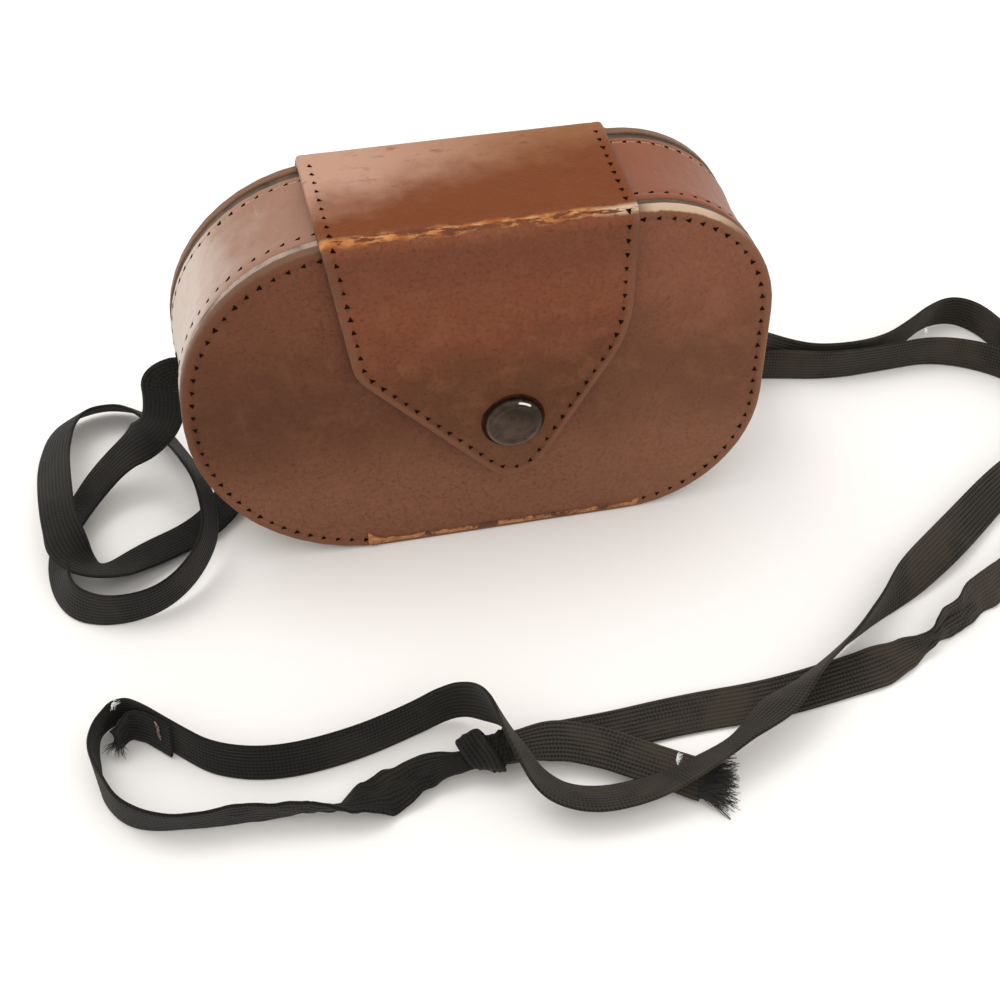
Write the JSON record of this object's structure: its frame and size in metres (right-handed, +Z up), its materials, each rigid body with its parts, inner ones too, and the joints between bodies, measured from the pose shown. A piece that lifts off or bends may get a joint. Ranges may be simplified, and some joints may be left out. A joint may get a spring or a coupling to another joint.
{
  "type": "light meter case",
  "caption": "Rounded leather case for a hand-held light meter, with a flap closed by a press stud and a long knotted strap of woven tape.",
  "frame": {"origin": "on the flat underside, below the middle of the case", "axes": "+Z up, +X along the case with the flap facing -Y, metres"},
  "size_m": [0.2328, 0.1357, 0.0772],
  "materials": {
    "face_leather": "mid brown grain leather, worn",
    "board_leather": "olive brown dyed edge of a stiffening layer",
    "gusset_leather": "smooth greyish brown leather with a pale sheen",
    "lining_leather": "undyed thin leather, flesh side",
    "flap_leather": "mid brown grain leather, worn to tan at the crease",
    "thread": "waxed golden cream thread",
    "stud_metal": "aged dark nickel, bright where rubbed",
    "stud_brass": "dull brass",
    "tape": "black woven tape with lengthwise ribs"
  },
  "bodies": {
    "case_body": {"bottom_lining": "lining_leather", "bottom_strip": "face_leather", "front_board": "board_leather", "front_panel": "face_leather", "front_panel_stitches": "thread", "gusset_front_stitches": "thread", "gusset_left": "gusset_leather", "gusset_lining_left": "lining_leather", "gusset_lining_right": "lining_leather", "gusset_rear_stitches": "thread", "gusset_right": "gusset_leather", "rear_board": "board_leather", "rear_panel": "face_leather", "rear_panel_stitches": "thread", "strap_behind_case": "tape", "strap_end_left": "tape", "strap_end_right": "tape", "strap_fray": "tape", "strap_front_long": "tape", "strap_front_short": "tape", "strap_front_under": "tape", "strap_join": "tape", "strap_knot": "tape", "strap_left_loops": "tape", "strap_right_inner": "tape", "strap_right_outer": "tape", "strap_tail": "tape", "stud_post": "stud_brass", "stud_rivet": "stud_brass"},
    "flap_top_part": {"flap_top": "flap_leather", "flap_top_lining": "lining_leather", "flap_top_stitches": "thread"},
    "flap_front_part": {"flap_front": "flap_leather", "flap_front_lining": "lining_leather", "flap_front_stitches": "thread", "stud_cap": "stud_metal", "stud_socket": "stud_brass", "stud_spring": "stud_brass"}
  },
  "joints": [
    {"name": "flap_top_hinge", "type": "hinge", "parent": "case_body", "child": "flap_top_part", "pos_m": [0, 0.01425, 0.0759], "axis": [-1, 0, 0], "range_deg": [0, 180]},
    {"name": "flap_front_hinge", "type": "hinge", "parent": "flap_top_part", "child": "flap_front_part", "pos_m": [0, -0.01715, 0.0759], "axis": [-1, 0, 0], "range_deg": [0, 90]}
  ]
}
